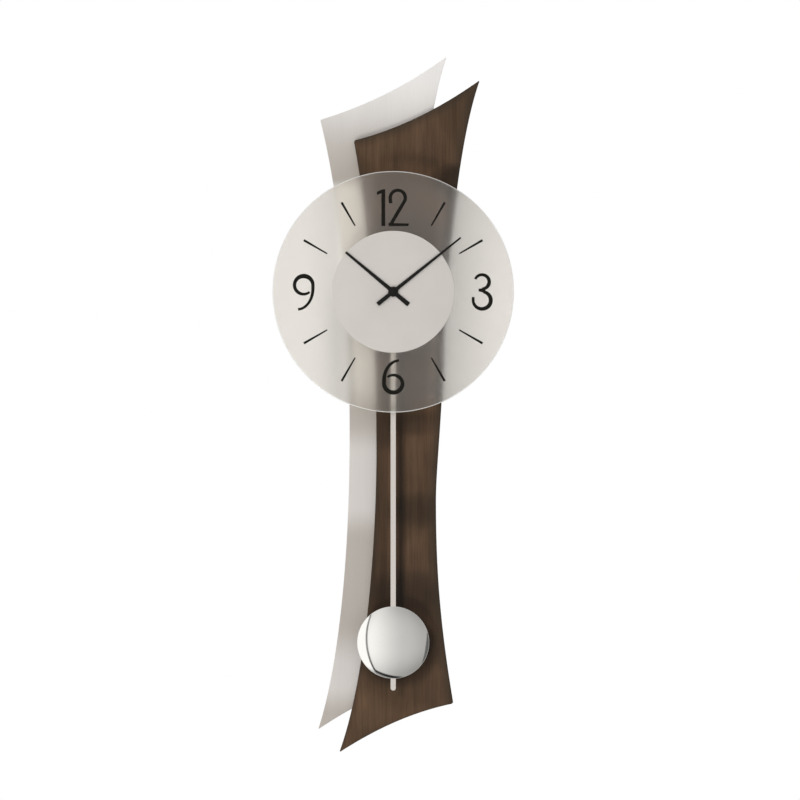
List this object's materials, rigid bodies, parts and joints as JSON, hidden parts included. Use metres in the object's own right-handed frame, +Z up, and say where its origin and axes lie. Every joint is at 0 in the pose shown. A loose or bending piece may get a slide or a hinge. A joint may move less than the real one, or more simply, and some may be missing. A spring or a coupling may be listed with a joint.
{
  "type": "pendulum wall clock",
  "caption": "Tall wall clock: curved walnut panel over a brushed aluminium one, round satin glass dial on standoffs, quartz movement, flat rod and domed pendulum bob.",
  "frame": {"origin": "centre of the hanging keyhole's round hole, in the wall plane at the back of the hanger plate", "axes": "+Z up, +Y from the clock into the wall, +X to the right as seen from the front"},
  "size_m": [0.241, 0.0646, 0.696],
  "materials": {
    "walnut": "open-grained walnut veneer, matt lacquer",
    "brushed_aluminium": "fine brushed, satin",
    "satin_glass": "acid-etched on the back, polished edge",
    "satin_silver": "matt silver",
    "printed_black": "screen-printed black ink",
    "black_enamel": "satin black enamel",
    "zinc_steel": "zinc plated",
    "standoff_aluminium": "turned, natural",
    "brass": "turned, bright",
    "black_rubber": "matt",
    "black_plastic": "fine spark-eroded texture",
    "white_plastic": "natural moulded",
    "magnet_steel": "nickel plated magnet",
    "lamination_steel": "bare stamped sheet",
    "copper_wire": "enamelled copper winding",
    "circuit_green": "solder mask",
    "chip_epoxy": "epoxy dome",
    "battery_sleeve": "plain printed sleeve",
    "rod_silver": "satin silver",
    "polished_chrome": "polished",
    "bob_back_metal": "satin plated"
  },
  "bodies": {
    "clock": {"wood_panel": "walnut", "aluminium_panel": "brushed_aluminium", "glass_dial": "satin_glass", "centre_disc": "satin_silver", "hour_markers": "printed_black", "numeral_12": "printed_black", "numeral_3": "printed_black", "numeral_6": "printed_black", "numeral_9": "printed_black", "panel_screws": "zinc_steel", "hanger_plate": "zinc_steel", "hanger_screws": "zinc_steel", "standoff_screws": "zinc_steel", "case_screws": "zinc_steel", "dial_washer": "zinc_steel", "battery_contact_positive": "zinc_steel", "battery_contact_negative": "zinc_steel", "quartz_crystal": "zinc_steel", "pendulum_pivot_pin": "zinc_steel", "dial_standoffs": "standoff_aluminium", "dial_carrier": "standoff_aluminium", "threaded_bush": "brass", "hex_nut": "brass", "train_plate": "brass", "rubber_gasket": "black_rubber", "wall_buffers": "black_rubber", "movement_front_shell": "black_plastic", "movement_rear_cover": "black_plastic", "motor_stator": "lamination_steel", "motor_coil": "copper_wire", "pendulum_coil": "copper_wire", "circuit_board": "circuit_green", "control_chip": "chip_epoxy"},
    "minute_hand_set": {"minute_hand": "black_enamel", "minute_arbor": "brass", "hand_cap_nut": "black_enamel"},
    "hour_hand_set": {"hour_hand": "black_enamel", "hour_wheel": "white_plastic"},
    "motion_gear": {"motion_wheel": "white_plastic"},
    "time_setting_knob": {"setting_knob": "white_plastic"},
    "rotor_set": {"rotor": "magnet_steel"},
    "intermediate_gear": {"intermediate_wheel": "white_plastic"},
    "fourth_gear": {"fourth_wheel": "white_plastic"},
    "third_gear": {"third_wheel": "brass"},
    "centre_gear": {"centre_wheel": "brass"},
    "pendulum": {"pendulum_hanger": "white_plastic", "pendulum_magnet": "magnet_steel", "pendulum_rod": "rod_silver", "bob_front_shell": "polished_chrome", "bob_back_shell": "bob_back_metal", "bob_clamp": "bob_back_metal", "bob_screw": "bob_back_metal"},
    "battery_cell": {"battery": "battery_sleeve"}
  },
  "joints": [
    {"name": "minute_hand_turn", "type": "hinge", "parent": "clock", "child": "minute_hand_set", "pos_m": [0, -0.062, -0.085], "axis": [0, 1, 0], "continuous": true},
    {"name": "hour_hand_turn", "type": "hinge", "parent": "clock", "child": "hour_hand_set", "pos_m": [0, -0.0605, -0.085], "axis": [0, 1, 0], "continuous": true},
    {"name": "motion_wheel_turn", "type": "hinge", "parent": "clock", "child": "motion_gear", "pos_m": [-0.00594, -0.0455, -0.0755], "axis": [0, 1, 0], "continuous": true},
    {"name": "setting_knob_turn", "type": "hinge", "parent": "clock", "child": "time_setting_knob", "pos_m": [-0.0021, -0.03, -0.06498], "axis": [0, 1, 0], "continuous": true},
    {"name": "rotor_turn", "type": "hinge", "parent": "clock", "child": "rotor_set", "pos_m": [-0.0095, -0.0408, -0.06208], "axis": [0, 1, 0], "continuous": true},
    {"name": "intermediate_wheel_turn", "type": "hinge", "parent": "clock", "child": "intermediate_gear", "pos_m": [-0.01445, -0.0345, -0.06703], "axis": [0, 1, 0], "continuous": true},
    {"name": "fourth_wheel_turn", "type": "hinge", "parent": "clock", "child": "fourth_gear", "pos_m": [-0.01644, -0.037, -0.07395], "axis": [0, 1, 0], "continuous": true},
    {"name": "third_wheel_turn", "type": "hinge", "parent": "clock", "child": "third_gear", "pos_m": [-0.01071, -0.0395, -0.08311], "axis": [0, 1, 0], "continuous": true},
    {"name": "centre_wheel_turn", "type": "hinge", "parent": "clock", "child": "centre_gear", "pos_m": [0, -0.042, -0.085], "axis": [0, 1, 0], "continuous": true},
    {"name": "pendulum_swing", "type": "hinge", "parent": "clock", "child": "pendulum", "pos_m": [0, -0.04, -0.101], "axis": [0, 1, 0], "range_deg": [-7, 7]},
    {"name": "battery_lift_out", "type": "slide", "parent": "clock", "child": "battery_cell", "axis": [0, 1, 0], "range_m": [0, 0.05]}
  ],
  "couplings": [
    {"joint": "hour_hand_turn", "follows": "minute_hand_turn", "ratio": 0.083333},
    {"joint": "motion_wheel_turn", "follows": "minute_hand_turn", "ratio": -0.33333},
    {"joint": "setting_knob_turn", "follows": "minute_hand_turn", "ratio": 1},
    {"joint": "intermediate_wheel_turn", "follows": "rotor_turn", "ratio": -0.16667},
    {"joint": "fourth_wheel_turn", "follows": "rotor_turn", "ratio": 0.033333},
    {"joint": "third_wheel_turn", "follows": "rotor_turn", "ratio": -0.0041667},
    {"joint": "centre_wheel_turn", "follows": "rotor_turn", "ratio": 0.00055556}
  ]
}
